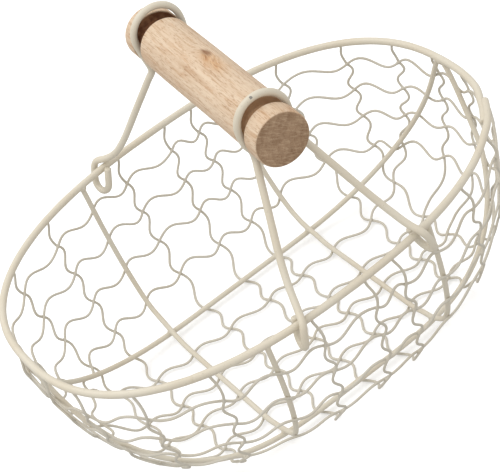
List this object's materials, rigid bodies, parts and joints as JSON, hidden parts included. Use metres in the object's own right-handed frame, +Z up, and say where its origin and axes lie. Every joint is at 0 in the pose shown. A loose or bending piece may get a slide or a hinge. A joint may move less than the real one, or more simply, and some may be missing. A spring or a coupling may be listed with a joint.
{
  "type": "egg collection basket",
  "caption": "Oval wire basket with rounded netting walls, bowed ribs and a turned wooden grip carried by hooked wire bails.",
  "frame": {"origin": "centre of the bounding box at the underside of the floor netting", "axes": "+X along the basket's length, -Y is the front, +Z up from the floor netting to the grip"},
  "size_m": [0.3061, 0.2364, 0.2093],
  "materials": {
    "coated_wire": "satin cream powder coat",
    "coated_net": "satin cream powder coat",
    "grip_wood": "plain turned hardwood, unvarnished"
  },
  "bodies": {
    "basket": {"rim": "coated_wire", "cross_rib_left": "coated_wire", "cross_rib_right": "coated_wire", "long_rib_front": "coated_wire", "long_rib_back": "coated_wire", "net_ring_1": "coated_net", "net_ring_2": "coated_net", "net_ring_3": "coated_net", "net_ring_4": "coated_net", "net_cross_1": "coated_net", "net_cross_2": "coated_net", "net_cross_3": "coated_net", "net_cross_4": "coated_net", "net_cross_5": "coated_net", "net_cross_6": "coated_net", "net_cross_7": "coated_net", "net_long_1": "coated_net", "net_long_2": "coated_net", "net_long_3": "coated_net", "net_long_4": "coated_net"},
    "front_bail": {"bail_front": "coated_wire"},
    "back_bail": {"bail_back": "coated_wire"},
    "grip": {"grip": "grip_wood"}
  },
  "joints": [
    {"name": "handle_sway", "type": "hinge", "parent": "basket", "child": "front_bail", "pos_m": [0.0052, -0.1087, 0.106], "axis": [1, 0, 0], "range_deg": [-4, 4]},
    {"name": "back_bail_sway", "type": "hinge", "parent": "basket", "child": "back_bail", "pos_m": [0.006, 0.109, 0.106], "axis": [1, 0, 0], "range_deg": [-4, 4]},
    {"name": "grip_tilt", "type": "hinge", "parent": "front_bail", "child": "grip", "pos_m": [0.0102, -0.0637, 0.1875], "axis": [1, 0, 0], "range_deg": [-6.8, 6.8]}
  ],
  "couplings": [
    {"joint": "back_bail_sway", "follows": "handle_sway", "ratio": 1},
    {"joint": "grip_tilt", "follows": "handle_sway", "ratio": -1.7}
  ]
}
